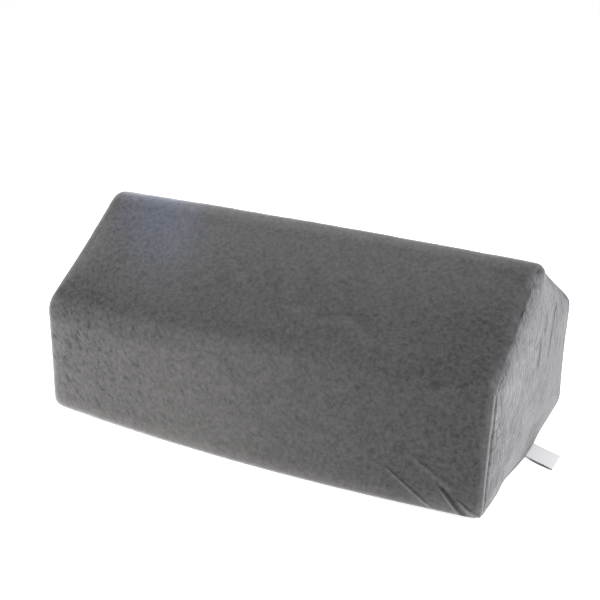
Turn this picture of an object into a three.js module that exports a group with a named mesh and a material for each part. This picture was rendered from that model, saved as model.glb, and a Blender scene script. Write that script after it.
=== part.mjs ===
// A knee wedge pillow: a five-sided block of foam in a close velour cover, with a loop label.
// The wrap panel goes once round the block, and a flat panel is sewn into each end.
// Millimetres, +Z up. The origin lies on the underside, below the middle of the ridge's length.
// +X runs along the ridge to the end with the label, and -Y is the tall front wall.

import * as THREE from 'three';
import { mergeVertices } from 'three/addons/utils/BufferGeometryUtils.js';

// Driving dimensions of the pillow
const LENGTH = 500;
const END_ROUND = 11;
const SEAM_ANGLE = 50;
const SEAM_DIP = 0.8;
const PANEL_THICK = 2.4;
const CLEARANCE = 0.6;
const END_CROWN = 4.5;
const SEAM_PULL_FADE = 4;
const MERGE_DISTANCE = 1e-4;

// The five long edges, from the front foot over the ridge to the back foot.
// y, z and the rounding are given at the left end, mid length and the right end.
const EDGES = [
  { name: 'front foot', y: [-136, -153.5, -143], z: [0, 0, 0], round: [15, 15, 15] },
  { name: 'knee', y: [-133, -138, -125.5], z: [130, 133, 132.5], round: [25, 25, 13.5] },
  { name: 'ridge', y: [6, 4, 1.5], z: [220, 218.5, 214.5], round: [22, 15, 15] },
  { name: 'back shoulder', y: [141, 143, 141], z: [128, 129, 130], round: [22, 25, 18] },
  { name: 'back foot', y: [135, 147, 133], z: [0, 0, 0], round: [13, 13, 13] },
];

// The face that follows each edge. The crown is how far it stands out at left, middle and right,
// and the draw is how far the end seam pulls it in halfway between two edges.
// Steps are evenly spread, but bunched towards the creased foot of the front wall.
const FACES = [
  { name: 'front wall', steps: 9, bunch: 1.4, crown: [1, 5, 1], draw: 0.5 },
  { name: 'front slope', steps: 7, bunch: 1, crown: [0, 3, -1], draw: 0.8 },
  { name: 'back slope', steps: 15, bunch: 1, crown: [-1, 3, 1], draw: 0.8 },
  { name: 'back wall', steps: 9, bunch: 1, crown: [1, 5, 1], draw: 1 },
  { name: 'underside', crown: [0, 0, 0], draw: -1 },
];
const ARC_STEPS = 4;

// Stations along the wrap: wide apart over most of it, close where the front is creased
const CREASED_FROM = 140;
const WIDE_STATIONS = 12;
const CLOSE_STATIONS = 12;

// Angles of the rings that round the wrap over to an end, and of those on an end panel
const WRAP_ROLL_ANGLES = [17, 34, 45];
const PANEL_ROLL_ANGLES = [58, 74];

// Creases pulled into the front wall towards its lower right corner, as x and z of both ends
const FRONT_CREASES = [
  { from: [152, 46], to: [208, 9], depth: 2.6, width: 5.5 },
  { from: [203, 36], to: [238, 5], depth: 2.2, width: 5.0 },
  { from: [229, 16], to: [248, 6], depth: 1.6, width: 4.5 },
];
// A crease fades out where the surface turns away from the front: the lean at which it starts
// and the lean at which it has its full depth
const CREASE_LEAN_FROM = 0.5;
const CREASE_LEAN_FULL = 0.9;

// Folds that hang from the back slope's seam on the right end panel, as y and z of both ends
const END_FOLDS = [
  { from: [110, 152], to: [110, 114], depth: 1.6, width: 4.0 },
  { from: [90, 167], to: [80, 111], depth: 1.8, width: 4.5 },
  { from: [84, 172], to: [56, 98], depth: 2.0, width: 5.0 },
  { from: [38, 200], to: [15, 82], depth: 1.4, width: 6.0 },
];

// The label: a strip folded in half, held in the lower seam of the right end
const LABEL_WIDTH = 32;
const LABEL_THICK = 1;
const LABEL_ROOT_X = 248.4;
const LABEL_ROOT_Y = 14;
const LABEL_REACH = 34;
const LABEL_SKEW = 12;
// Height of each layer's middle at shares of the reach from the seam to the fold
const LABEL_LAYERS = [
  { share: 0.0, lower: 1.7, upper: 3.3 },
  { share: 0.14, lower: 1.1, upper: 4.3 },
  { share: 0.32, lower: 0.9, upper: 5.2 },
  { share: 0.55, lower: 0.9, upper: 4.9 },
  { share: 0.78, lower: 0.9, upper: 4.0 },
  { share: 0.94, lower: 1.0, upper: 3.2 },
];
const LABEL_FOLD_STEPS = 5;

// Finishes
const VELOUR = { color: 0x6c6c6e, roughness: 0.95, metalness: 0 };
const WOVEN_TAPE = { color: 0xe9e9e6, roughness: 0.8, metalness: 0 };

const radians = THREE.MathUtils.degToRad;

// A value that runs in a smooth bow through its three stated sizes, for u from -1 to 1
function bow([left, middle, right], u) {
  const slope = (right - left) / 2;
  const bend = (right + left) / 2 - middle;
  return middle + slope * u + bend * u * u;
}

// The corner of one edge as an arc that touches both its faces
function roundedCorner(before, corner, after, radius) {
  const back = before.clone().sub(corner).normalize();
  const forth = after.clone().sub(corner).normalize();
  const half = Math.acos(back.dot(forth)) / 2;
  const reach = radius / Math.tan(half);
  const start = corner.clone().addScaledVector(back, reach);
  const end = corner.clone().addScaledVector(forth, reach);
  const inward = back.clone().add(forth).normalize();
  const centre = corner.clone().addScaledVector(inward, radius / Math.sin(half));
  const from = start.clone().sub(centre).angle();
  const turn = Math.PI - 2 * half;
  return { start, end, centre, radius, from, turn };
}

// The section at u, as points with their outward direction and their pull at the end seam.
// It runs up the front wall, over the ridge, down the back wall and back along the underside.
function sectionAt(u) {
  const corners = EDGES.map((edge) => new THREE.Vector2(bow(edge.y, u), bow(edge.z, u)));
  const count = corners.length;
  const arcs = corners.map((corner, i) => {
    const before = corners[(i + count - 1) % count];
    const after = corners[(i + 1) % count];
    return roundedCorner(before, corner, after, bow(EDGES[i].round, u));
  });
  const section = [];
  arcs.forEach((arc, i) => {
    for (let k = 0; k <= ARC_STEPS; k += 1) {
      const angle = arc.from - (arc.turn * k) / ARC_STEPS;
      const out = new THREE.Vector2(Math.cos(angle), Math.sin(angle));
      const at = arc.centre.clone().addScaledVector(out, arc.radius);
      section.push({ at, out, draw: 0 });
    }
    const face = FACES[i];
    const next = arcs[(i + 1) % count];
    const along = next.start.clone().sub(arc.end);
    const out = new THREE.Vector2(-along.y, along.x).normalize();
    const shares = face.steps ? sharesOfSteps(face) : sharesBelowSlopes(section);
    for (const share of shares) {
      const swell = Math.sin(Math.PI * share);
      const at = arc.end.clone().addScaledVector(along, share);
      at.addScaledVector(out, bow(face.crown, u) * swell);
      section.push({ at, out, draw: face.draw * swell });
    }
  });
  return section;
}

function sharesOfSteps({ steps, bunch }) {
  return Array.from({ length: steps - 1 }, (_, k) => ((k + 1) / steps) ** bunch);
}

// The underside has one point below each point of the slopes,
// so that the columns across an end stand upright.
function sharesBelowSlopes(section) {
  const first = FACES[0].steps + 2 * ARC_STEPS;
  const last = first + FACES[1].steps + ARC_STEPS + FACES[2].steps;
  const yFirst = section[first].at.x;
  const yLast = section[last].at.x;
  const between = section.slice(first + 1, last);
  return between.map((point) => (yLast - point.at.x) / (yLast - yFirst)).reverse();
}

// How far a set of creases dips at a point of the face that they lie on
function dipAt(creases, across, up) {
  let dip = 0;
  for (const crease of creases) {
    const [fromAcross, fromUp] = crease.from;
    const runAcross = crease.to[0] - fromAcross;
    const runUp = crease.to[1] - fromUp;
    const along = (across - fromAcross) * runAcross + (up - fromUp) * runUp;
    const held = THREE.MathUtils.clamp(along / (runAcross ** 2 + runUp ** 2), 0, 1);
    const away = Math.hypot(across - fromAcross - runAcross * held, up - fromUp - runUp * held);
    dip += crease.depth * Math.exp(-((away / crease.width) ** 2));
  }
  return dip;
}

// One ring of the wrap between its rolled ends
function wrapRing(x) {
  const u = x / (LENGTH / 2 - END_ROUND);
  return sectionAt(u).map(({ at, out, draw }) => {
    const pulled = x - draw * u * Math.abs(u) ** 2;
    const onFront = THREE.MathUtils.smoothstep(-out.x, CREASE_LEAN_FROM, CREASE_LEAN_FULL);
    const dip = onFront * dipAt(FRONT_CREASES, pulled, at.y);
    return new THREE.Vector3(pulled, at.x - out.x * dip, at.y - out.y * dip);
  });
}

// One ring on the rounding of an end. The depth is measured inwards from the outer surface.
function endRing(side, angle, depth) {
  const reach = END_ROUND - depth;
  const inset = END_ROUND - reach * Math.cos(radians(angle));
  const back = END_ROUND - reach * Math.sin(radians(angle));
  return sectionAt(side).map(({ at, out, draw }) => {
    const x = side * (LENGTH / 2 - back - draw);
    return new THREE.Vector3(x, at.x - out.x * inset, at.y - out.y * inset);
  });
}

// Fills a ring with a patch that is blended from its four sides and swells by the crown.
// Columns run from the underside to the slopes, and rows from the front wall to the back wall.
// The pull of the seam dies away towards the middle.
function patchInside(ring, crown) {
  const rows = FACES[0].steps + ARC_STEPS;
  const columns = FACES[1].steps + ARC_STEPS + FACES[2].steps + ARC_STEPS;
  const frontFoot = ARC_STEPS / 2;
  const at = (index) => ring[(index + ring.length) % ring.length];
  const left = (row) => at(frontFoot + row);
  const top = (column) => at(frontFoot + rows + column);
  const right = (row) => at(frontFoot + 2 * rows + columns - row);
  const bottom = (column) => at(frontFoot - column);
  const flat = ring.reduce((sum, point) => sum + point.x, 0) / ring.length;
  const patch = [];
  for (let column = 0; column <= columns; column += 1) {
    const a = column / columns;
    const line = [];
    for (let row = 0; row <= rows; row += 1) {
      const b = row / rows;
      const onRim = column === 0 || column === columns || row === 0 || row === rows;
      if (onRim) {
        line.push(rimPoint(column, row));
        continue;
      }
      const point = new THREE.Vector3();
      point.addScaledVector(bottom(column), 1 - b).addScaledVector(top(column), b);
      point.addScaledVector(left(row), 1 - a).addScaledVector(right(row), a);
      point.addScaledVector(left(0), -(1 - a) * (1 - b)).addScaledVector(left(rows), -(1 - a) * b);
      point.addScaledVector(right(0), -a * (1 - b)).addScaledVector(right(rows), -a * b);
      const nearRim = Math.max(Math.abs(2 * a - 1), Math.abs(2 * b - 1)) ** SEAM_PULL_FADE;
      point.x = flat + (point.x - flat) * nearRim + crown * Math.sin(Math.PI * a) * Math.sin(Math.PI * b);
      line.push(point);
    }
    patch.push(line);
  }
  return patch;

  function rimPoint(column, row) {
    if (column === 0) return left(row).clone();
    if (column === columns) return right(row).clone();
    return row === 0 ? bottom(column).clone() : top(column).clone();
  }
}

// Faces between rings that follow each other along +X, or from the inside of a panel to its outside
function skinRings(triangles, rings) {
  for (let i = 0; i + 1 < rings.length; i += 1) {
    const here = rings[i];
    const next = rings[i + 1];
    for (let j = 0; j < here.length; j += 1) {
      const k = (j + 1) % here.length;
      triangles.push([here[j], next[j], next[k]], [here[j], next[k], here[k]]);
    }
  }
}

// Faces of a patch that looks along +X, or along -X
function skinPatch(triangles, patch, facing) {
  for (let i = 0; i + 1 < patch.length; i += 1) {
    for (let j = 0; j + 1 < patch[i].length; j += 1) {
      const halves = [
        [patch[i][j], patch[i + 1][j], patch[i + 1][j + 1]],
        [patch[i][j], patch[i + 1][j + 1], patch[i][j + 1]],
      ];
      triangles.push(...(facing < 0 ? halves.map((half) => half.reverse()) : halves));
    }
  }
}

function closedMesh(name, triangles, finish) {
  const positions = triangles.flatMap((corners) => corners.flatMap((corner) => corner.toArray()));
  const soup = new THREE.BufferGeometry();
  soup.setAttribute('position', new THREE.Float32BufferAttribute(positions, 3));
  const geometry = mergeVertices(soup, MERGE_DISTANCE);
  geometry.computeVertexNormals();
  const mesh = new THREE.Mesh(geometry, new THREE.MeshStandardMaterial(finish));
  mesh.name = name;
  return mesh;
}

function stationsAlongWrap() {
  const end = LENGTH / 2 - END_ROUND;
  const wideStep = (CREASED_FROM + end) / WIDE_STATIONS;
  const closeStep = (end - CREASED_FROM) / CLOSE_STATIONS;
  const wide = Array.from({ length: WIDE_STATIONS }, (_, k) => -end + wideStep * k);
  const close = Array.from({ length: CLOSE_STATIONS + 1 }, (_, k) => CREASED_FROM + closeStep * k);
  return [...wide, ...close];
}

// The foam in its wrap panel. The wrap rolls over at each end and dips into the seam,
// and behind the seam the foam's own end carries the end panel.
function filledBody() {
  const seat = PANEL_THICK + CLEARANCE;
  const rollOf = (side) => [
    ...WRAP_ROLL_ANGLES.map((angle) => endRing(side, angle, 0)),
    endRing(side, SEAM_ANGLE, SEAM_DIP),
    endRing(side, SEAM_ANGLE, seat),
    endRing(side, 90, seat),
  ];
  const rings = [...rollOf(-1).reverse(), ...stationsAlongWrap().map(wrapRing), ...rollOf(1)];
  const triangles = [];
  skinRings(triangles, rings);
  skinPatch(triangles, patchInside(rings[0], -END_CROWN), -1);
  skinPatch(triangles, patchInside(rings[rings.length - 1], END_CROWN), 1);
  return closedMesh('filled_body', triangles, VELOUR);
}

// An end panel: a thin sheet that starts at the seam, rounds over and swells with the foam behind it.
// Its folds begin just past the seam, which holds the two rings at the rim.
function endPanel(name, side, folds) {
  const rim = SEAM_ANGLE + THREE.MathUtils.radToDeg(CLEARANCE / (END_ROUND - PANEL_THICK));
  const outer = [
    endRing(side, rim, SEAM_DIP),
    ...PANEL_ROLL_ANGLES.map((angle) => endRing(side, angle, 0)),
    endRing(side, 90, 0),
  ];
  const inner = [endRing(side, 90, PANEL_THICK), endRing(side, rim, PANEL_THICK)];
  const outside = patchInside(outer[outer.length - 1], side * END_CROWN);
  const inside = patchInside(inner[0], side * END_CROWN);
  const fold = (point) => {
    point.x -= side * dipAt(folds, point.y, point.z);
  };
  outside.flat().forEach(fold);
  outer.slice(2).flat().forEach(fold);
  const rings = [...inner, ...outer];
  const triangles = [];
  skinRings(triangles, side > 0 ? rings : rings.reverse());
  skinPatch(triangles, inside, -side);
  skinPatch(triangles, outside, side);
  return closedMesh(name, triangles, VELOUR);
}

// The label's section: the lower layer out to the fold, and the upper layer back to the seam
function labelSection() {
  const layer = (side) => LABEL_LAYERS.map((row) => new THREE.Vector2(row.share * LABEL_REACH, row[side]));
  const lower = layer('lower');
  const upper = layer('upper').reverse();
  const below = lower[lower.length - 1];
  const above = upper[0];
  const middle = below.clone().add(above).multiplyScalar(0.5);
  const radius = (above.y - below.y) / 2;
  const fold = Array.from({ length: LABEL_FOLD_STEPS - 1 }, (_, k) => {
    const angle = -Math.PI / 2 + (Math.PI * (k + 1)) / LABEL_FOLD_STEPS;
    return new THREE.Vector2(middle.x + radius * Math.cos(angle), middle.y + radius * Math.sin(angle));
  });
  const line = [...lower, ...fold, ...upper];
  const shift = (sign) => line.map((point, i) => {
    const before = line[Math.max(i - 1, 0)];
    const after = line[Math.min(i + 1, line.length - 1)];
    const along = after.clone().sub(before).normalize();
    const aside = new THREE.Vector2(along.y, -along.x);
    return point.clone().addScaledVector(aside, (sign * LABEL_THICK) / 2);
  });
  return [...shift(1), ...shift(-1).reverse()];
}

// The section swept across the label's width, on a slant because the label lies askew
function label() {
  const section = labelSection();
  const sliceAt = (w) => section.map(({ x, y: z }) => {
    const y = LABEL_ROOT_Y + w - (LABEL_SKEW * x) / LABEL_REACH;
    return new THREE.Vector3(LABEL_ROOT_X + x, y, z);
  });
  const front = sliceAt(-LABEL_WIDTH / 2);
  const back = sliceAt(LABEL_WIDTH / 2);
  const triangles = [];
  for (let j = 0; j < section.length; j += 1) {
    const k = (j + 1) % section.length;
    triangles.push([front[j], back[k], front[k]], [front[j], back[j], back[k]]);
  }
  for (const [a, b, c] of THREE.ShapeUtils.triangulateShape(section, [])) {
    triangles.push([front[a], front[b], front[c]], [back[a], back[c], back[b]]);
  }
  return closedMesh('label', triangles, WOVEN_TAPE);
}

const pillow = new THREE.Group();
pillow.add(filledBody());
pillow.add(endPanel('end_panel_left', -1, []));
pillow.add(endPanel('end_panel_right', 1, END_FOLDS));
pillow.add(label());

export default pillow;
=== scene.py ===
import math

import bmesh
import bpy
import numpy as np
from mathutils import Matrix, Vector, kdtree, noise


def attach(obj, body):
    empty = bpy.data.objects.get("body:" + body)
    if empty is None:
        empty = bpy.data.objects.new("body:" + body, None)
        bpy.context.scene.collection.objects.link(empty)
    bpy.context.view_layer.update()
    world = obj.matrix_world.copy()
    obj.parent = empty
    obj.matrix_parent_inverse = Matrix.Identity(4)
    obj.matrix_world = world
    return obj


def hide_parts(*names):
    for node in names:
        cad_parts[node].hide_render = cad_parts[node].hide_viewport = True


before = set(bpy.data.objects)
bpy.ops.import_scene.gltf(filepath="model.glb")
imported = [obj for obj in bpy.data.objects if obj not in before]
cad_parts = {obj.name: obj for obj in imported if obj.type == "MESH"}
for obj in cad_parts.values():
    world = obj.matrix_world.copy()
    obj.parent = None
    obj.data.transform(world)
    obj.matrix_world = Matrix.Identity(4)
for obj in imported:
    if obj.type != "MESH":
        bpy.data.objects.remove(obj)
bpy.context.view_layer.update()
MM = 0.001


# THE VIEW
# The photograph looks down on the tall front wall, with the labelled end to the right.
CAMERA_PLACE = (0.5195, -1.0310, 0.6027)
CAMERA_TURN = 27.18
CAMERA_DIP = 22.3
LENS = 69.42

camera = bpy.data.objects.new("camera", bpy.data.cameras.new("camera"))
camera.data.lens = LENS
camera.location = CAMERA_PLACE
camera.rotation_euler = (math.radians(90 - CAMERA_DIP), 0, math.radians(CAMERA_TURN))
bpy.context.scene.collection.objects.link(camera)
bpy.context.scene.camera = camera


# THE FOAM BLOCK
# A long block of soft polyurethane foam with five faces, cut with a ridge and rounded by the tight
# cover. It doesn't show, but the cover takes its form, so its sizes come first.
LENGTH = 500 * MM
END_ROUND = 11 * MM
END_CROWN = 4.5 * MM
# Each long edge: y and z at the left end, mid length and the right end, and its rounding there, in mm
EDGES = {
    "front foot": ((-136, -153.5, -143), (0, 0, 0), (15, 15, 15)),
    "knee": ((-133, -138, -125.5), (130, 133, 132.5), (25, 25, 13.5)),
    "ridge": ((6, 4, 1.5), (220, 218.5, 214.5), (22, 15, 15)),
    "back shoulder": ((141, 143, 141), (128, 129, 130), (22, 25, 18)),
    "back foot": ((135, 147, 133), (0, 0, 0), (13, 13, 13)),
}
# The face after each edge: steps across it, its crown in mm at left, middle and right, and how many mm
# the end seam draws it in, or lets it out if below 0. The underside has a point below each point of the
# slopes.
FACES = {
    "front wall": (12, (0, 3, 0), 0.5),
    "front slope": (13, (-1, 1, -2), 0.8),
    "back slope": (13, (-2, 1, 0), 0.8),
    "back wall": (12, (0, 3, 0), 1),
    "underside": (30, (0, 0, 0), -1),
}
ARC_STEPS = 4


def bow(values, u):
    """A size that runs in a smooth bow through its values at left, middle and right, u from -1 to 1."""
    left, middle, right = values
    return middle + (right - left) / 2 * u + ((right + left) / 2 - middle) * u * u


def block_section(u):
    """Points round the block at u, with their outward direction and their pull at the end seam."""
    corners = [np.array([bow(y, u), bow(z, u)]) * MM for y, z, _ in EDGES.values()]
    arcs = []
    for i, (_, _, rounding) in enumerate(EDGES.values()):
        back = corners[i - 1] - corners[i]
        forth = corners[(i + 1) % len(corners)] - corners[i]
        back /= np.linalg.norm(back)
        forth /= np.linalg.norm(forth)
        half = math.acos(back @ forth) / 2
        radius = bow(rounding, u) * MM
        start = corners[i] + back * radius / math.tan(half)
        end = corners[i] + forth * radius / math.tan(half)
        inward = (back + forth) / np.linalg.norm(back + forth)
        centre = corners[i] + inward * radius / math.sin(half)
        angle = math.atan2(*(start - centre)[::-1])
        arcs.append((start, end, centre, radius, angle, math.pi - 2 * half))
    points, outward, draw = [], [], []
    for i, (steps, crown, pull) in enumerate(FACES.values()):
        _, end, centre, radius, angle, turn = arcs[i]
        for k in range(ARC_STEPS + 1):
            out = np.array([math.cos(angle - turn * k / ARC_STEPS), math.sin(angle - turn * k / ARC_STEPS)])
            points.append(centre + out * radius)
            outward.append(out)
            draw.append(0.0)
        along = arcs[(i + 1) % len(arcs)][0] - end
        out = np.array([-along[1], along[0]]) / np.linalg.norm(along)
        shares = [k / steps for k in range(1, steps)]
        if i == len(FACES) - 1:
            shares = shares_below_slopes(points)
        for share in shares:
            swell = math.sin(math.pi * share)
            points.append(end + along * share + out * bow(crown, u) * MM * swell)
            outward.append(out)
            draw.append(pull * MM * swell)
    return np.array(points), np.array(outward), np.array(draw)


def shares_below_slopes(points):
    """Shares of the way along the underside, back to front, at which its points lie below the slopes'."""
    wall, front, back = [FACES[name][0] for name in ("front wall", "front slope", "back slope")]
    first = wall + 2 * ARC_STEPS
    ys = [point[0] for point in points[first:first + front + ARC_STEPS + back + 1]]
    return [(ys[-1] - y) / (ys[-1] - ys[0]) for y in reversed(ys[1:-1])]


# THE COVER, BEFORE IT IS CUT INTO ITS PANELS
# Grey velour, sewn inside out from one wrap panel and two end panels, and pulled over the foam.
# It is laid out as one closed skin, so that the cloth can settle in one piece.
# The seam lies on the rounding of the ends: about half-way round it beside the slopes and below, nearly
# on the flat end beside the walls, and less far round at the ends of the ridge. Between these angles it
# moves over ranges of heights. The rounding ends at a fourth angle, where the end panel starts to swell.
SEAM_ANGLES = (52, 78)
SEAM_MOVES_OVER = (165 * MM, 120 * MM)
SEAM_AT_RIDGE = 30
RIDGE_OVER = (199 * MM, 210 * MM)
ROLL_END = 84
# A ring's point counts as beside a wall, and not below, by how far it faces up
WALL_NOT_BELOW = (-0.9, -0.3)
# Where the rings on the rounding lie, as shares of the way to the seam, and from there to the flat end
WRAP_ROLL = (0.3, 0.6, 0.83)
PANEL_ROLL = (1.3, 1.65, 2.0)
# Stretches of the wrap from its left end (-1) to its right end (1), with the number of steps in each.
# They are close beside the left seam, and over the right end, where the front is creased.
STRETCHES = ((-1.0, -0.95, 3), (-0.95, 0.58, 23), (0.58, 1.0, 17))
PARTS = ("wrap", "left", "right")
# How soon the inside of an end leaves its rim's own form, and how full its crown is
RIM_FADE = 4
CROWN_FULLNESS = 3


def wrap_ring(u):
    """One ring of the wrap between its rolled ends, which the seams draw in less towards the middle."""
    points, _, draw = block_section(u)
    return np.column_stack([u * (LENGTH / 2 - END_ROUND) - draw * u * abs(u) ** 2, points])


def smooth_step(start, end, value):
    """0 up to start and 1 past end, with a soft change between them. Start may be the larger."""
    share = np.clip((value - start) / (end - start), 0, 1)
    return share * share * (3 - 2 * share)


def end_ring(side, place):
    """One ring on the rounding of an end, where 1 is the seam and 2 the flat end."""
    points, outward, draw = block_section(side)
    beside_wall = smooth_step(*SEAM_MOVES_OVER, points[:, 1]) * smooth_step(*WALL_NOT_BELOW, outward[:, 1])
    seam = SEAM_ANGLES[0] + (SEAM_ANGLES[1] - SEAM_ANGLES[0]) * beside_wall
    seam += (SEAM_AT_RIDGE - seam) * smooth_step(*RIDGE_OVER, points[:, 1])
    angle = np.radians(seam * place if place <= 1 else seam + (ROLL_END - seam) * (place - 1))
    x = side * (LENGTH / 2 - END_ROUND * (1 - np.sin(angle)) - draw)
    return np.column_stack([x, points - outward * (END_ROUND * (1 - np.cos(angle)))[:, None]])


def patch_inside(ring, crown):
    """A grid that fills a ring, blended from its four sides, which swells by the crown."""
    rows = FACES["front wall"][0] + ARC_STEPS
    columns = FACES["front slope"][0] + FACES["back slope"][0] + 2 * ARC_STEPS
    foot = ARC_STEPS // 2
    count = len(ring)
    left = np.array([(foot + k) % count for k in range(rows + 1)])
    top = np.array([(foot + rows + k) % count for k in range(columns + 1)])
    right = np.array([(foot + 2 * rows + columns - k) % count for k in range(rows + 1)])
    bottom = np.array([(foot - k) % count for k in range(columns + 1)])
    a = np.linspace(0, 1, columns + 1)[:, None, None]
    b = np.linspace(0, 1, rows + 1)[None, :, None]
    grid = (1 - b) * ring[bottom][:, None] + b * ring[top][:, None]
    grid = grid + (1 - a) * ring[left][None] + a * ring[right][None]
    grid = grid - (1 - a) * (1 - b) * ring[left[0]] - (1 - a) * b * ring[left[-1]]
    grid = grid - a * (1 - b) * ring[right[0]] - a * b * ring[right[-1]]
    near_rim = np.maximum(np.abs(2 * a - 1), np.abs(2 * b - 1))[..., 0] ** RIM_FADE
    flat = ring[:, 0].mean()
    dome = np.sin(math.pi * a) * np.sin(math.pi * b)
    swell = crown * (1 - (1 - dome) ** CROWN_FULLNESS)[..., 0]
    grid[..., 0] = flat + (grid[..., 0] - flat) * near_rim + swell
    rim = {"left": left, "top": top, "right": right, "bottom": bottom}
    return grid, rim


def skin():
    """The whole skin: its points, its quads, and the part that each quad belongs to."""
    left_roll = [end_ring(-1, place) for place in (*WRAP_ROLL, 1, *PANEL_ROLL)][::-1]
    right_roll = [end_ring(1, place) for place in (*WRAP_ROLL, 1, *PANEL_ROLL)]
    stations = [start + (end - start) * k / steps for start, end, steps in STRETCHES for k in range(steps)]
    rings = [*left_roll, *[wrap_ring(u) for u in (*stations, 1.0)], *right_roll]
    points = np.concatenate(rings)
    place = np.arange(len(points)).reshape(len(rings), -1)
    quads, parts = [], []
    for i in range(len(rings) - 1):
        on_left = i < len(PANEL_ROLL)
        on_right = i >= len(rings) - 1 - len(PANEL_ROLL)
        here, there = place[i], place[i + 1]
        quads += list(zip(here, there, np.roll(there, -1), np.roll(here, -1)))
        parts += [PARTS.index("left" if on_left else "right" if on_right else "wrap")] * len(here)
    for part, side, row in (("left", -1, 0), ("right", 1, len(rings) - 1)):
        grid, rim = patch_inside(rings[row], side * END_CROWN)
        index = np.zeros(grid.shape[:2], int)
        inner = grid[1:-1, 1:-1].reshape(-1, 3)
        index[1:-1, 1:-1] = len(points) + np.arange(len(inner)).reshape(grid.shape[0] - 2, -1)
        index[0], index[-1] = place[row][rim["left"]], place[row][rim["right"]]
        index[:, 0], index[:, -1] = place[row][rim["bottom"]], place[row][rim["top"]]
        points = np.concatenate([points, inner])
        corners = [index[:-1, :-1], index[1:, :-1], index[1:, 1:], index[:-1, 1:]]
        filled = list(zip(*[c.ravel() for c in corners[::side]]))
        quads += filled
        parts += [PARTS.index(part)] * len(filled)
    return points, quads, parts


def add_mesh(name, points, faces):
    mesh = bpy.data.meshes.new(name)
    mesh.from_pydata([tuple(p) for p in points], [], [tuple(int(i) for i in f) for f in faces])
    mesh.polygons.foreach_set("use_smooth", [True] * len(mesh.polygons))
    mesh.update()
    piece = bpy.data.objects.new(name, mesh)
    bpy.context.scene.collection.objects.link(piece)
    return piece


def apply_modifiers(piece):
    """Turns what the modifiers show into the piece's own mesh."""
    evaluated = piece.evaluated_get(bpy.context.evaluated_depsgraph_get())
    piece.data = bpy.data.meshes.new_from_object(evaluated)
    piece.modifiers.clear()


def subdivide(piece, levels):
    smooth = piece.modifiers.new("smooth", "SUBSURF")
    smooth.levels = smooth.render_levels = levels
    apply_modifiers(piece)


def read(items, name, width, kind=float):
    """One property of all points or faces as an array."""
    flat = np.empty(len(items) * width, kind)
    items.foreach_get(name, flat)
    return flat.reshape(-1, width) if width > 1 else flat


def move_points(piece, points):
    piece.data.vertices.foreach_set("co", points.ravel())
    piece.data.update()


skin_points, skin_quads, skin_parts = skin()
cover = add_mesh("cover", skin_points, skin_quads)
for _ in PARTS:
    cover.data.materials.append(None)
cover.data.polygons.foreach_set("material_index", skin_parts)
subdivide(cover, 1)


# HOW THE COVER SETTLES ON THE FOAM
# The foam presses the cover outwards while the seams and the long edges hold it, so that the cloth
# bellies a little between them. The pillow stands on its underside, which stays flat.
PRESSURE = 4.0
SETTLING_FRAMES = 20
LARGEST_BELLY = 3 * MM
# The rounded long edges hold the cover firmly up to the first distance, and not at all past the second
HELD_NEAR = 14 * MM
HELD_FAR = 34 * MM
# What lies lower than this stays on the floor
ON_FLOOR = 1.5 * MM


def settle(piece):
    start = read(piece.data.vertices, "co", 3)
    held = holding(piece, start)
    group = piece.vertex_groups.new(name="held")
    for index, weight in enumerate(held):
        group.add([index], float(weight), "REPLACE")
    cloth = piece.modifiers.new("cloth", "CLOTH")
    cloth.settings.quality = 5
    cloth.settings.mass = 0.3
    cloth.settings.tension_stiffness = 15
    cloth.settings.compression_stiffness = 15
    cloth.settings.shear_stiffness = 8
    cloth.settings.bending_stiffness = 3
    cloth.settings.use_pressure = True
    cloth.settings.uniform_pressure_force = PRESSURE
    cloth.settings.effector_weights.gravity = 0
    cloth.settings.vertex_group_mass = "held"
    cloth.collision_settings.use_collision = False
    for frame_number in range(1, SETTLING_FRAMES + 1):
        bpy.context.scene.frame_set(frame_number)
    evaluated = piece.evaluated_get(bpy.context.evaluated_depsgraph_get())
    moved = read(evaluated.data.vertices, "co", 3) - start
    piece.modifiers.clear()
    piece.vertex_groups.clear()
    bpy.context.scene.frame_set(1)
    size = np.linalg.norm(moved, axis=1, keepdims=True)
    capped = moved * np.minimum(1, LARGEST_BELLY / np.maximum(size, 1e-9))
    move_points(piece, start + capped)


def holding(piece, points):
    """How firmly each point is held, from 0 to 1: at the long edges, at the seams and on the floor."""
    u = points[:, 0] / (LENGTH / 2 - END_ROUND)
    to_edge = np.full(len(points), np.inf)
    for y, z, _ in EDGES.values():
        away = np.hypot(points[:, 1] - bow(y, u) * MM, points[:, 2] - bow(z, u) * MM)
        to_edge = np.minimum(to_edge, away)
    held = smooth_step(HELD_FAR, HELD_NEAR, to_edge)
    held[points[:, 2] < ON_FLOOR] = 1
    held[seam_points(piece)] = 1
    return held


def seam_points(piece):
    """The points that lie between two parts of the cover."""
    part = read(piece.data.polygons, "material_index", 1, int)
    corner_point = read(piece.data.loops, "vertex_index", 1, int)
    corner_part = np.repeat(part, read(piece.data.polygons, "loop_total", 1, int))
    lowest = np.full(len(piece.data.vertices), 9)
    highest = np.full(len(piece.data.vertices), -1)
    np.minimum.at(lowest, corner_point, corner_part)
    np.maximum.at(highest, corner_point, corner_part)
    return np.flatnonzero(lowest != highest)


settle(cover)


# THE PANELS
# The cover comes apart into the wrap, one length of velour that goes once round the block, and a
# five-sided panel at each end. Each is cut, and its edge is turned down into the seam.
CLOTH_THICK = 1.2 * MM
SEAM_DEPTH = {"wrap": 0.5 * MM, "end": 0.4 * MM}
SEAM_WIDTH = 0.85 * MM
# Only points this near to the seam are moved by it
SEAM_REACH = 25 * MM
# Beside the slopes the groove is shallower by this share, but not at the ridge's ends above these heights
SHALLOWER = 0.85
SHALLOW_BELOW = (206 * MM, 194 * MM)
# Shade is painted into it by this much
GROOVE_SHADE = 0.2
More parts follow.
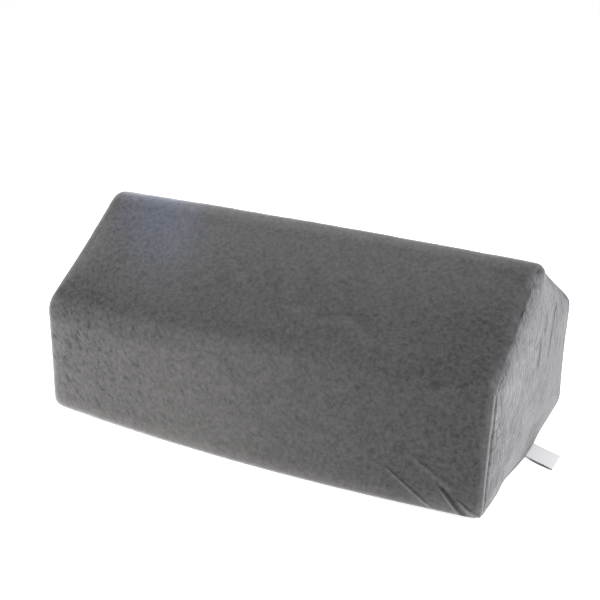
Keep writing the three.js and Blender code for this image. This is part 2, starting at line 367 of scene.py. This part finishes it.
# The roll of doubled cloth beside the seam: how high it stands, how far from the seam and how wide
SEAM_LIP = {"wrap": (1.1 * MM, 2.6 * MM, 0.8 * MM), "end": (0.3 * MM, 3.2 * MM, 1.8 * MM)}
# The roll stands up beside the walls, and lies flat beside the slopes
LIP_UP_TO = 118 * MM
LIP_FLAT_FROM = 134 * MM
# How much highlight is painted along the roll, where it would catch the light
LIP_HIGHLIGHT = {"wrap": 1.5, "end": 0.0}
# Beside the slopes shade is painted along the seam instead: how much, and over what distance. Towards
# the ridge this eases by a share, over a range of heights.
SEAM_SHADE = {"wrap": (0.45, 4 * MM), "end": (0.8, 7 * MM)}
SEAM_SHADE_EASES = 0.8
EASES_OVER = (188 * MM, 203 * MM)
PUCKER_HEIGHT = {"wrap": 0.25 * MM, "end": 0.25 * MM}
PUCKER_PITCH = 7 * MM
PUCKER_REACH = 6 * MM
# The row of the noise that the puckers follow
PUCKER_ROW = 4.7
# The wrap's hidden closing lies this far in from its rim, and its own rim is smaller by a share
CLOSING_SETBACK = 5 * MM
CLOSING_DRAWN_IN = 0.02


def cut_panel(name, part):
    corner_point = read(cover.data.loops, "vertex_index", 1, int).reshape(-1, 4)
    quads = corner_point[read(cover.data.polygons, "material_index", 1, int) == PARTS.index(part)]
    used, local = np.unique(quads, return_inverse=True)
    piece = add_mesh(name, read(cover.data.vertices, "co", 3)[used], local.reshape(quads.shape))
    subdivide(piece, 1)
    return piece


def open_rims(piece):
    """The piece's open edges, each a list of its points in order."""
    ends = read(piece.data.edges, "vertices", 2, int)
    corner_edge = read(piece.data.loops, "edge_index", 1, int)
    open_edges = ends[np.bincount(corner_edge, minlength=len(ends)) == 1]
    follows = {}
    for a, b in open_edges:
        follows.setdefault(int(a), []).append(int(b))
        follows.setdefault(int(b), []).append(int(a))
    rims = []
    while follows:
        rim = [min(follows)]
        while True:
            ahead = [point for point in follows.pop(rim[-1]) if point in follows]
            if not ahead:
                break
            rim.append(ahead[0])
        rims.append(rim)
    return rims


def along_seam(points, line):
    """Each point's distance from a closed seam line, and how far along the line its nearest place is."""
    steps = 8
    ahead = np.roll(line, -1, axis=0)
    shares = np.arange(steps)[None, :, None] / steps
    places = (line[:, None] * (1 - shares) + ahead[:, None] * shares).reshape(-1, 3)
    run = np.linalg.norm(np.roll(places, -1, axis=0) - places, axis=1).cumsum()
    tree = kdtree.KDTree(len(places))
    for index, place in enumerate(places):
        tree.insert(place, index)
    tree.balance()
    found = [tree.find(point) for point in points]
    return np.array([hit[2] for hit in found]), run[[hit[1] for hit in found]]


def add_painted_light(piece, amount):
    """Adds painted light at each point, which makes the velour paler, or painted shade if below 0."""
    attributes = piece.data.attributes
    kept = attributes.get("painted_light_and_shade") or attributes.new("painted_light_and_shade", "FLOAT", "POINT")
    kept.data.foreach_set("value", read(kept.data, "value", 1) + amount)


def turn_in(piece, line, kind):
    """Turns a panel's edge down into the seam, with its roll of cloth and small puckers beside it."""
    points = read(piece.data.vertices, "co", 3)
    outward = read(piece.data.vertices, "normal", 3)
    near = np.flatnonzero(np.abs(points[:, 0] - line[:, 0].mean()) < SEAM_REACH)
    away, run = along_seam(points[near], line)
    height, distance, width = SEAM_LIP[kind]
    lip = np.exp(-(((away - distance) / width) ** 2)) * smooth_step(LIP_FLAT_FROM, LIP_UP_TO, points[near, 2])
    groove = np.exp(-((away / SEAM_WIDTH) ** 2))
    beside_slope = smooth_step(LIP_UP_TO, LIP_FLAT_FROM, points[near, 2])
    shallow = beside_slope * smooth_step(*SHALLOW_BELOW, points[near, 2])
    rise = height * lip - SEAM_DEPTH[kind] * groove * (1 - SHALLOWER * shallow)
    # Painted highlight along the roll, painted shade in the groove and, beside the slopes, along the seam
    painted_light = np.zeros(len(points))
    painted_light[near] = LIP_HIGHLIGHT[kind] * lip - GROOVE_SHADE * groove
    darkening, reach = SEAM_SHADE[kind]
    eased = 1 - SEAM_SHADE_EASES * smooth_step(*EASES_OVER, points[near, 2])
    painted_light[near] -= darkening * np.exp(-((away / reach) ** 2)) * beside_slope * eased
    add_painted_light(piece, painted_light)
    wave = np.array([noise.noise(Vector((r / PUCKER_PITCH, PUCKER_ROW, 0))) for r in run])
    rise += PUCKER_HEIGHT[kind] * wave * np.exp(-away / PUCKER_REACH)
    points[near] += outward[near] * rise[:, None]
    points[:, 2] = np.maximum(points[:, 2], 0)
    move_points(piece, points)


def close_behind(piece, rims):
    """Closes each open end with a flat face set back behind the end panel."""
    points = read(piece.data.vertices, "co", 3)
    faces = [tuple(face.vertices) for face in piece.data.polygons]
    for rim in rims:
        side = math.copysign(1, points[rim[0], 0])
        inner = points[rim].copy()
        centre = inner.mean(axis=0)
        inner[:, 0] -= side * CLOSING_SETBACK
        inner[:, 1:] += (centre[1:] - inner[:, 1:]) * CLOSING_DRAWN_IN
        first = len(points)
        count = len(rim)
        points = np.concatenate([points, inner, [centre - [side * CLOSING_SETBACK, 0, 0]]])
        runs_up = np.cross(points[rim[0]] - centre, points[rim[1]] - centre)[0] * side > 0
        for k in range(count):
            m = (k + 1) % count
            a, b = (rim[k], rim[m]) if runs_up else (rim[m], rim[k])
            c, d = (first + m, first + k) if runs_up else (first + k, first + m)
            faces.append((a, b, c, d))
            faces.append((d, c, first + count))
    name = piece.name
    painted_light = np.zeros(len(points))
    painted_light[:len(piece.data.vertices)] = read(piece.data.attributes["painted_light_and_shade"].data, "value", 1)
    bpy.data.objects.remove(piece)
    closed = add_mesh(name, points, faces)
    add_painted_light(closed, painted_light)
    return closed


wrap = cut_panel("velour_wrap", "wrap")
panel_right = cut_panel("velour_end_right", "right")
panel_left = cut_panel("velour_end_left", "left")
bpy.data.objects.remove(cover)
wrap_rims = open_rims(wrap)
seam_lines = [read(wrap.data.vertices, "co", 3)[rim] for rim in wrap_rims]
for line in seam_lines:
    turn_in(wrap, line, "wrap")
    turn_in(panel_right if line[0, 0] > 0 else panel_left, line, "end")


# THE CREASES
# The wrap is dragged into creases towards its lower right corner, where it was pulled on, and the right
# end panel hangs in narrow folds below the back slope's seam. The left end has none.
# Each crease: both ends on the face in mm, its depth, its width below and above, and the height of
# the ridge along its lower side
FRONT_CREASES = (
    ((155, 43), (202, 11), 0.7, 1.0, 1.7, 1.2),
    ((208, 34), (234, 6), 1.3, 1.1, 4.2, 1.5),
    ((226, 24), (248, 7), 1.0, 1.1, 2.2, 1.3),
    ((176, 62), (222, 36), 0.5, 2.5, 4.5, 0.35),
)
SLOPE_CREASES = (
    ((20, 163), (52, 166), 0.35, 2.5, 2.5, 0.2),
    ((55, 158), (92, 164), 0.4, 3.0, 3.0, 0.25),
    ((88, 165), (126, 152), 0.4, 3.0, 3.0, 0.25),
    ((-60, 186), (-28, 178), 0.3, 3.0, 3.0, 0.2),
)
END_FOLDS = (
    ((59, 154), (40, 127), 1.7, 2.2, 2.6, 0.4),
    ((41, 132), (31, 104), 2.0, 2.6, 3.2, 0.4),
    ((0, 138), (-8, 108), 2.7, 3.0, 4.0, 0.5),
    ((61, 154), (63, 126), 1.3, 2.0, 2.2, 0.3),
    ((88, 148), (94, 127), 1.4, 2.2, 2.4, 0.3),
    ((25, 160), (8, 136), 0.7, 2.2, 2.6, 0.3),
    ((66, 120), (62, 98), 0.6, 2.2, 2.6, 0.2),
)
# Shares of its length over which a crease sets in and dies away
CREASE_SETS_IN = (-0.1, 0.25)
CREASE_DIES_AWAY = (1.15, 0.85)
# Its width at its start, and what it gains up to its end, as shares of the widths above
START_WIDTH = 0.7
WIDTH_GAINED = 0.4
# The ridge lies this many widths beside the crease
RIDGE_ASIDE = 1.7
# A highlight is painted on a ridge and shade in a crease: how much for each mm, and up to how many mm
CREST_HIGHLIGHT = (1.1, 1)
CREASE_SHADE = (0.4, 1.3)
# Faces that creases cross are split finer, if their middles lie in these ranges of x, y and z in mm
FINE_ON_WRAP = ((140, 270), (-160, -120), (2, 60))
FINE_ON_PANEL = ((240, 270), (-10, 150), (85, 220))
# Slight waves in the cover: the pitch and the height of each kind. On the wrap they die down towards
# the floor and towards the end seams.
WRAP_WAVES = ((50 * MM, 0.45 * MM), (18 * MM, 0.18 * MM))
PANEL_WAVES = ((40 * MM, 0.5 * MM),)
WAVES_OVER_FLOOR = (0, 12 * MM)
WAVES_BESIDE_SEAM = (248 * MM, 232 * MM)
# What faces to the front is the wall, what faces up the slopes, and what faces aside an end panel: not at
# all up to the first value, and fully past the second
FACES_FRONT = (0.5, 0.9)
FACES_UP = (0.7, 0.8)
FACES_ASIDE = (0.75, 0.95)
# The nap stands this far out from the cloth. On an end panel it does so on the rolled rim alone, and
# not down at the floor.
NAP_HEIGHT = 0.8 * MM
ROLLED_RIM = (250 * MM, 246 * MM)
RIM_OVER_FLOOR = (10 * MM, 40 * MM)


def crease_relief(across, up, creases):
    """How far creases move the points of a face outwards, from the points' two coordinates on it, and
    how much highlight and shade they paint."""
    relief = np.zeros(len(across))
    painted_light = np.zeros(len(across))
    for start, end, depth, below, above, ridge in creases:
        start, end = np.array(start) * MM, np.array(end) * MM
        run = end - start
        length = np.linalg.norm(run)
        run /= length
        share = ((across - start[0]) * run[0] + (up - start[1]) * run[1]) / length
        aside = (across - start[0]) * run[1] - (up - start[1]) * run[0]
        width = MM * (START_WIDTH + WIDTH_GAINED * np.clip(share, 0, 1))
        fade = smooth_step(*CREASE_SETS_IN, share) * smooth_step(*CREASE_DIES_AWAY, share)
        valley = fade * np.exp(-((aside / (width * np.where(aside > 0, below, above))) ** 2))
        crest = fade * np.exp(-(((aside / (width * below)) - RIDGE_ASIDE) ** 2))
        relief += MM * (ridge * crest - depth * valley)
        painted_light += CREST_HIGHLIGHT[0] * min(ridge, CREST_HIGHLIGHT[1]) * crest
        painted_light -= CREASE_SHADE[0] * min(depth, CREASE_SHADE[1]) * valley
    return relief, painted_light


def waviness(points, kinds):
    """How far slight waves move each point outwards."""
    return np.array([sum(height * noise.noise(Vector(p) / pitch) for pitch, height in kinds) for p in points])


def refine(piece, ranges):
    """Splits each face in four whose middle lies in ranges of x, y and z, given in mm."""
    centres = read(piece.data.polygons, "center", 3)
    low, high = np.array(ranges).T * MM
    chosen = np.flatnonzero(((centres > low) & (centres < high)).all(axis=1))
    mesh = bmesh.new()
    mesh.from_mesh(piece.data)
    mesh.faces.ensure_lookup_table()
    edges = {edge for index in chosen for edge in mesh.faces[index].edges}
    in_order = sorted(edges, key=lambda edge: edge.index)
    bmesh.ops.subdivide_edges(mesh, edges=in_order, cuts=1, use_grid_fill=True)
    mesh.to_mesh(piece.data)
    mesh.free()


def press(piece, relief):
    """Moves each point outwards by its relief, but never below the floor."""
    points = read(piece.data.vertices, "co", 3) + read(piece.data.vertices, "normal", 3) * relief[:, None]
    points[:, 2] = np.maximum(points[:, 2], 0)
    move_points(piece, points)


# The painted light and shade in the next section is laid by where the wrap's points are here, before they
# move
refine(wrap, FINE_ON_WRAP)
wrap_points = read(wrap.data.vertices, "co", 3)
wrap_facing = read(wrap.data.vertices, "normal", 3)
x, y, z = wrap_points.T
on_wall = smooth_step(*FACES_FRONT, -wrap_facing[:, 1])
on_slope = smooth_step(*FACES_UP, wrap_facing[:, 2]) * (y < 0)
free = smooth_step(*WAVES_OVER_FLOOR, z) * smooth_step(*WAVES_BESIDE_SEAM, np.abs(x))
front_relief, front_painted_light = crease_relief(x, z, FRONT_CREASES)
slope_relief, slope_painted_light = crease_relief(x, z, SLOPE_CREASES)
wrap_relief = waviness(wrap_points, WRAP_WAVES) * free + front_relief * on_wall + slope_relief * on_slope
press(wrap, NAP_HEIGHT + wrap_relief)
# Painted highlights along the creases' ridges and painted shade in their valleys
add_painted_light(wrap, front_painted_light * on_wall + slope_painted_light * on_slope)


# PAINTED LIGHT AND SHADE
# Light and shade are painted into the velour's tone by the points: paler where light would catch the
# cover, as on the rims at the ridge and the foot, and darker where shade would fall.
# Each patch of painted light on the wrap, or painted shade if below 0: how much, on which face, and
# ranges in mm from where the patch doesn't show to where it shows in full
WRAP_LIGHT_AND_SHADE = {
    "over the ridge": (0.8, "outside", (("from ridge", 19, 2),)),
    "at the foot": (0.8, "outside", (("z", 26, 3),)),
    "upper slope": (0.25, "slope", (("z", 165, 200), ("x", -190, -80))),
    "above the knee": (-0.28, "front", (("z", 104, 117), ("z", 168, 132), ("x", 60, -150))),
    "right end of the wall": (-0.25, "wall", (("x", 60, 240), ("z", 5, 40))),
    "ends of the slope": (-0.25, "slope", (("from middle", 130, 235),)),
}
RIDGE_LINE = (3 * MM, 216 * MM)
# The outside is all that doesn't face the floor
NOT_DOWN = (-1.0, -0.2)
# The middle of the wall is paler too: how much, where, and how wide
MID_WALL_PALER = 0.25
MID_WALL_AT = -60 * MM
MID_WALL_REACH = 110 * MM
# On the end panels light is painted in one slanting patch: how much, the patch's middle as y and z, the
# direction it runs in, and its reach along and across that
PANEL_LIGHT = 0.6
PANEL_LIGHT_AT = (-62 * MM, 122 * MM)
PANEL_LIGHT_RUNS = (0.83, 0.56)
PANEL_LIGHT_REACH = (55 * MM, 22 * MM)
# Shade is painted towards the floor, and less of it towards the back
PANEL_SHADE = 0.5
SHARE_AT_BACK = 0.4
DOWN_AT_BACK = (20 * MM, 75 * MM)
DOWN_AT_FLOOR = (55 * MM, 15 * MM)
# Shade is painted below the ridge's end, at this y and z
CORNER_SHADE = 0.4
CORNER_SHADE_AT = (-6 * MM, 197 * MM)
CORNER_SHADE_REACH = (10 * MM, 12 * MM)


def bell(a, b, middle, reach):
    """1 in the middle of a patch and softly down to 0 round it, from two coordinates."""
    return np.exp(-(((a - middle[0]) / reach[0]) ** 2) - ((b - middle[1]) / reach[1]) ** 2)


def wrap_painted_light():
    """How much light, or shade if below 0, is painted at each point of the wrap."""
    from_ridge = np.hypot(y - RIDGE_LINE[0], z - RIDGE_LINE[1])
    measures = {"x": x, "z": z, "from middle": np.abs(x), "from ridge": from_ridge}
    outside = smooth_step(*NOT_DOWN, wrap_facing[:, 2])
    faces = {"outside": outside, "front": y < 0, "wall": on_wall, "slope": on_slope}
    painted_light = MID_WALL_PALER * np.exp(-(((x - MID_WALL_AT) / MID_WALL_REACH) ** 2)) * on_wall
    for amount, face, ranges in WRAP_LIGHT_AND_SHADE.values():
        patch = amount * faces[face]
        for measure, start, end in ranges:
            patch = patch * smooth_step(start * MM, end * MM, measures[measure])
        painted_light += patch
    return painted_light


def panel_painted_light(y, z):
    """How much light, or shade if below 0, is painted at each point of an end panel."""
    run, rise = PANEL_LIGHT_RUNS
    aside, above = y - PANEL_LIGHT_AT[0], z - PANEL_LIGHT_AT[1]
    light_patch = bell(aside * run + above * rise, above * run - aside * rise, (0, 0), PANEL_LIGHT_REACH)
    shade_patch = np.maximum(SHARE_AT_BACK * smooth_step(*DOWN_AT_BACK, y), smooth_step(*DOWN_AT_FLOOR, z))
    corner_shade = bell(y, z, CORNER_SHADE_AT, CORNER_SHADE_REACH)
    return PANEL_LIGHT * light_patch - PANEL_SHADE * shade_patch - CORNER_SHADE * corner_shade


# The wrap's painted light and shade
add_painted_light(wrap, wrap_painted_light())


# THE LABELLED END
# The folded tape in the lower seam pushes the right end panel out where it is caught, and between it and
# the front corner the seam draws the panel in. The top corner stands out where the seams of the two
# slopes meet.
LABEL_AT = 14 * MM
LABEL_BULGE = 2.6 * MM
BULGE_WIDTH = 32 * MM
DENT_AT = -56 * MM
DENT_DEPTH = 2.2 * MM
DENT_WIDTH = 20 * MM
# Both reach this far up, and set in between these x
FOOT_REACH = 20 * MM
FOOT_SETS_IN = (215 * MM, 240 * MM)
CORNER_AT = (5 * MM, 213 * MM)
CORNER_POINT = 6.6 * MM
CORNER_REACH = (14 * MM, 14 * MM)
CORNER_SETS_IN = (234 * MM, 250 * MM)


def shape_labelled_end(piece):
    points = read(piece.data.vertices, "co", 3)
    x, y, z = points.T
    bulge = bell(y, z, (LABEL_AT, 0), (BULGE_WIDTH, FOOT_REACH))
    dent = bell(y, z, (DENT_AT, 0), (DENT_WIDTH, FOOT_REACH))
    x += (LABEL_BULGE * bulge - DENT_DEPTH * dent) * smooth_step(*FOOT_SETS_IN, x)
    x += CORNER_POINT * bell(y, z, CORNER_AT, CORNER_REACH) * smooth_step(*CORNER_SETS_IN, x)
    move_points(piece, points)


for piece in (wrap, panel_right):
    shape_labelled_end(piece)
refine(panel_right, FINE_ON_PANEL)
for panel in (panel_right, panel_left):
    points = read(panel.data.vertices, "co", 3)
    x, y, z = points.T
    on_end = smooth_step(*FACES_ASIDE, np.abs(read(panel.data.vertices, "normal", 3)[:, 0]))
    relief, painted_light = crease_relief(y, z, END_FOLDS if panel == panel_right else ())
    nap_stands = smooth_step(*ROLLED_RIM, np.abs(x)) * smooth_step(*RIM_OVER_FLOOR, z)
    press(panel, (waviness(points, PANEL_WAVES) + relief) * on_end + NAP_HEIGHT * nap_stands)
    # Painted highlights and shade of the folds, and the panel's painted light and shade
    add_painted_light(panel, (painted_light + panel_painted_light(y, z)) * on_end)
    thicken = panel.modifiers.new("thicken", "SOLIDIFY")
    thicken.thickness = CLOTH_THICK
    thicken.offset = -1
    apply_modifiers(panel)
wrap = close_behind(wrap, wrap_rims)


# THE VELOUR
# Short-napped polyester velour. Its pile is dark seen end on and pale where the eye grazes it,
# and it is mottled where the nap has been stroked or pressed. Light and shade are also painted into
# its tone from the points.
def linear(hexcode):
    """An sRGB hex colour as linear red, green, blue and alpha."""
    values = [int(hexcode[i:i + 2], 16) / 255 for i in (1, 3, 5)]
    return (*[v / 12.92 if v <= 0.04045 else ((v + 0.055) / 1.055) ** 2.4 for v in values], 1)


def add_node(material, kind, settings=None, **links):
    """Adds a node. Settings are its own properties, and links are sockets set to values or to others."""
    node = material.node_tree.nodes.new(kind)
    for name, value in (settings or {}).items():
        setattr(node, name, value)
    for name, value in links.items():
        socket = node.inputs[int(name[1:])] if name[0] == "_" else node.inputs[name.replace("_", " ")]
        if isinstance(value, bpy.types.NodeSocket):
            material.node_tree.links.new(value, socket)
        else:
            socket.default_value = value
    return node


def new_material(name):
    material = bpy.data.materials.new(name)
    material.use_nodes = True
    material.node_tree.nodes.clear()
    return material


PILE_TUFT = 4.4 * MM
PILE_PATCH = 14 * MM
STROKE_SIZE = 3.6 * MM
# How the strokes lie: turned about X, Y and Z, and how many times as long as wide along each of them
WRAP_STROKES = ((0, math.radians(-45), 0), (1, 1.5, 3))
END_STROKES = ((math.radians(8), 0, 0), (1, 1, 4))
# A stroke shows in full where its noise is below the first value, and not at all past the second
STROKE_NOISE = (0.32, 0.42)
# Its depth changes along the walls between these x, and from the walls to the slopes between these z
ALONG_WALLS = (-200 * MM, 200 * MM)
WALLS_TO_SLOPES = (105 * MM, 135 * MM)
# How much the tufts and the painted light and shade count in its tone, beside the strokes
TUFT_SHARE = 0.77
PAINTED_LIGHT_SHARE = 0.3
# The sums at which the nap has its dark and its pale colour, to which half the patches' share is added
DARK_AT = 0.225
PALE_AT = 0.525
NAP_RELIEF = 4 * MM


def velour(name, strokes, stroke_depths, patches, dark, pale, relief):
    """Stroke depths hold for the left and the right of the walls and for the slopes, and below 0 they
    darken. Patches and relief say how strongly those two show."""
    material = new_material(name)
    place = add_node(material, "ShaderNodeTexCoord").outputs["Object"]
    pile = add_node(
        material, "ShaderNodeTexNoise", Vector=place, Scale=1 / PILE_TUFT, Detail=4.0, Roughness=0.8)
    patch = add_node(material, "ShaderNodeTexNoise", Vector=place, Scale=1 / PILE_PATCH, Detail=1.0)
    slanted = add_node(
        material, "ShaderNodeMapping", {"vector_type": "TEXTURE"}, Vector=place, Rotation=strokes[0],
        Scale=strokes[1])
    stroke = add_node(
        material, "ShaderNodeTexNoise", Vector=slanted.outputs[0], Scale=1 / STROKE_SIZE, Detail=0.5)
    along = add_node(material, "ShaderNodeSeparateXYZ", Vector=place)
    low = add_node(
        material, "ShaderNodeMapRange", Value=along.outputs[0], From_Min=ALONG_WALLS[0],
        From_Max=ALONG_WALLS[1], To_Min=stroke_depths[0], To_Max=stroke_depths[1])
    depth = add_node(
        material, "ShaderNodeMapRange", Value=along.outputs[2], From_Min=WALLS_TO_SLOPES[0],
        From_Max=WALLS_TO_SLOPES[1], To_Min=low.outputs[0], To_Max=stroke_depths[2])
    darkening = add_node(
        material, "ShaderNodeMapRange", Value=stroke.outputs[0], From_Min=STROKE_NOISE[0],
        From_Max=STROKE_NOISE[1], To_Min=depth.outputs[0], To_Max=0.0)
    both = add_node(
        material, "ShaderNodeMath", {"operation": "MULTIPLY_ADD"}, _0=patch.outputs[0], _1=patches,
        _2=darkening.outputs[0])
    nap = add_node(
        material, "ShaderNodeMath", {"operation": "MULTIPLY_ADD"}, _0=pile.outputs[0], _1=TUFT_SHARE,
        _2=both.outputs[0])
    # The painted light and shade, read from the points: paler where lit, darker where shaded
    painted_light = add_node(material, "ShaderNodeAttribute", {"attribute_name": "painted_light_and_shade"})
    shown = add_node(
        material, "ShaderNodeMath", {"operation": "MULTIPLY_ADD"}, _0=painted_light.outputs["Fac"],
        _1=PAINTED_LIGHT_SHARE, _2=nap.outputs[0])
    ramp = add_node(
        material, "ShaderNodeMapRange", {"clamp": False}, Value=shown.outputs[0],
        From_Min=DARK_AT + patches / 2, From_Max=PALE_AT + patches / 2)
    tone = add_node(
        material, "ShaderNodeMix", {"data_type": "RGBA", "clamp_factor": False}, Factor=ramp.outputs[0])
    tone.inputs[6].default_value = linear(dark)
    tone.inputs[7].default_value = linear(pale)
    bump = add_node(
        material, "ShaderNodeBump", Height=nap.outputs[0], Strength=relief, Distance=NAP_RELIEF)
    cloth = add_node(
        material, "ShaderNodeBsdfPrincipled", Base_Color=tone.outputs[2], Normal=bump.outputs[0],
        Roughness=0.95, Sheen_Weight=1.0, Sheen_Roughness=0.3, Sheen_Tint=linear("#f4f4f4"),
        Specular_IOR_Level=0.1,
    )
    add_node(material, "ShaderNodeOutputMaterial", Surface=cloth.outputs[0])
    return material


# The wrap and the end panels are of one cloth, whose nap lies another way on the panels
wrap_velour = velour(
    "polyester_velour", WRAP_STROKES, stroke_depths=(-0.14, 0.0, -0.05), patches=0.12, dark="#403f3f",
    pale="#5d5c5b", relief=0.24)
end_velour = velour(
    "polyester_velour_down", END_STROKES, stroke_depths=(-0.1, -0.1, -0.1), patches=0.6, dark="#403f40",
    pale="#646364", relief=0.8)
for piece, node, cloth in (
    (wrap, "filled_body", wrap_velour),
    (panel_right, "end_panel_right", end_velour),
    (panel_left, "end_panel_left", end_velour),
):
    piece.data.materials.append(cloth)
    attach(piece, "root")
    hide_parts(node)


# THE LABEL
# A short length of off-white satin tape, folded in half and caught by both ends in the lower seam of
# the right end. It springs open a little along its near edge and comes down onto the table.
TAPE_WIDTH = 32 * MM
TAPE_THICK = 0.5 * MM
LABEL_ROOT = (250.6 * MM, LABEL_AT)
LABEL_REACH = 34 * MM
LABEL_SKEW = 12 * MM
# Heights of the lower and the upper layer in mm, at shares of the reach from the seam to the fold
LABEL_LAYERS = (
    (0.0, 3.0, 3.6),
    (0.08, 2.4, 3.7),
    (0.2, 1.4, 3.7),
    (0.38, 0.7, 3.5),
    (0.6, 0.5, 3.1),
    (0.82, 0.6, 2.6),
    (0.93, 0.8, 2.3),
)
TAPE_SLICES = 24
# The fold's points lie at these angles round it
FOLD_ANGLES = (-54, -18, 18, 54)
# At its far edge the loop is less open by this share, and the tape lies this much out of level
LOOP_CLOSES = 0.45
TAPE_LIFT = 0.25 * MM
# Across its width it rises and falls as a wave does between these two angles
LIFT_WAVE = (0.4, 2.7)
# Faint ribs along the tape
RIB_PITCH = 5.655 * MM


def label_line(openness):
    """The tape's middle line from the seam out to the fold and back, for how far the loop is open."""
    shares, low, high = np.array(LABEL_LAYERS).T
    high = low + (high - low) * openness
    middle, radius = (low[-1] + high[-1]) / 2, (high[-1] - low[-1]) / 2
    turn = np.radians(FOLD_ANGLES)
    reach = LABEL_REACH / MM
    xs = [*shares * reach, *(shares[-1] * reach + radius * np.cos(turn)), *(shares * reach)[::-1]]
    zs = [*low, *(middle + radius * np.sin(turn)), *high[::-1]]
    return np.column_stack([xs, zs]) * MM


def woven_label():
    """The folded tape, slice by slice from its near edge to its far one."""
    points = []
    for k in range(TAPE_SLICES + 1):
        share = k / TAPE_SLICES
        line = label_line(1 - LOOP_CLOSES * share)
        across = (share - 0.5) * TAPE_WIDTH
        lift = TAPE_LIFT * math.sin(LIFT_WAVE[0] + (LIFT_WAVE[1] - LIFT_WAVE[0]) * share)
        for x, z in line:
            y = LABEL_ROOT[1] + across - LABEL_SKEW * x / LABEL_REACH
            points.append((LABEL_ROOT[0] + x, y, z + lift * x / LABEL_REACH))
    row = len(label_line(1))
    faces = []
    for k in range(TAPE_SLICES):
        for j in range(row - 1):
            a = k * row + j
            faces.append((a, a + 1, a + row + 1, a + row))
    piece = add_mesh("woven_label", points, faces)
    thicken = piece.modifiers.new("thicken", "SOLIDIFY")
    thicken.thickness = TAPE_THICK
    thicken.offset = 0
    smooth = piece.modifiers.new("smooth", "SUBSURF")
    smooth.levels = smooth.render_levels = 2
    apply_modifiers(piece)
    return piece


def satin_tape():
    """Off-white polyester satin. The wave texture repeats after 2 pi / 20 of its own units."""
    material = new_material("woven_satin_tape")
    place = add_node(material, "ShaderNodeTexCoord").outputs["Object"]
    settings = {"wave_type": "BANDS", "bands_direction": "Y", "wave_profile": "SIN"}
    scale = 2 * math.pi / 20 / RIB_PITCH
    ribs = add_node(material, "ShaderNodeTexWave", settings, Vector=place, Scale=scale, Distortion=0.4)
    bump = add_node(
        material, "ShaderNodeBump", Height=ribs.outputs["Fac"], Strength=0.25, Distance=0.2 * MM)
    surface = add_node(
        material, "ShaderNodeBsdfPrincipled", Base_Color=linear("#c6c6c5"), Normal=bump.outputs[0],
        Roughness=0.55, Sheen_Weight=0.2,
    )
    add_node(material, "ShaderNodeOutputMaterial", Surface=surface.outputs[0])
    return material


label = woven_label()
label.data.materials.append(satin_tape())
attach(label, "root")
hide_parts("label")


# THE FLOOR AND THE LIGHT
# A white table that glows a little, so that it keeps hardly a shadow, and soft studio light: two low
# lamps at the left for the front wall, two at the right for the labelled end, two behind for the
# ridge and the rims, one above, and a faint cool gleam on the left of the front slope.
TABLE_GLOW = 0.73
TABLE_REACH = 6
ROOM_GLOW = 0.25


def glowing_table():
    material = new_material("white_table")
    surface = add_node(
        material, "ShaderNodeBsdfPrincipled", Base_Color=linear("#f4f4f4"), Roughness=0.9,
        Emission_Color=(1, 1, 1, 1), Emission_Strength=TABLE_GLOW,
    )
    add_node(material, "ShaderNodeOutputMaterial", Surface=surface.outputs[0])
    corners = [(TABLE_REACH * a, TABLE_REACH * b, 0) for a, b in ((-1, -1), (1, -1), (1, 1), (-1, 1))]
    floor = add_mesh("floor", corners, [(0, 1, 2, 3)])
    floor.data.materials.append(material)


def place_light(light, place, aim):
    light.location = place
    light.rotation_euler = (Vector(aim) - Vector(place)).to_track_quat("-Z", "Y").to_euler()
    bpy.context.scene.collection.objects.link(light)


def soft_light(name, place, aim, size, watts, colour="#ffffff"):
    light = bpy.data.objects.new(name, bpy.data.lights.new(name, "AREA"))
    light.data.size = size
    light.data.energy = watts
    light.data.color = linear(colour)[:3]
    place_light(light, place, aim)


glowing_table()
MIDDLE = (0, 0, 0.1)
soft_light("left_side", (-1.7, -0.5, 0.15), MIDDLE, 0.7, 72)
soft_light("left_low", (-1.3, -1.1, 0.3), MIDDLE, 0.9, 15)
soft_light("right_high", (1.5, 0.2, 1.2), MIDDLE, 1.2, 25, "#faf9ff")
soft_light("right_near", (0.8, -0.04, 0.25), (0.25, -0.02, 0.08), 0.3, 3.4, "#faf9ff")
soft_light("back_high", (0.1, 1.7, 1.3), MIDDLE, 1.2, 14, "#f6f8ff")
soft_light("back_left", (-1.5, 1.2, 0.8), MIDDLE, 0.9, 8, "#dfe6ff")
soft_light("top", (0, -0.1, 1.9), MIDDLE, 1.2, 4)
gleam = bpy.data.objects.new("cool_gleam", bpy.data.lights.new("cool_gleam", "SPOT"))
gleam.data.energy = 24
gleam.data.color = linear("#9bbeff")[:3]
gleam.data.spot_size = math.radians(10)
gleam.data.spot_blend = 1
gleam.data.shadow_soft_size = 0.02
place_light(gleam, (-0.55, 0.15, 0.75), (-0.17, -0.026, 0.2))
world = bpy.data.worlds.new("studio")
world.use_nodes = True
world.node_tree.nodes["Background"].inputs["Strength"].default_value = ROOM_GLOW
world.node_tree.nodes["Background"].inputs["Color"].default_value = (1, 1, 1, 1)
bpy.context.scene.world = world
bpy.context.scene.view_settings.view_transform = "Standard"
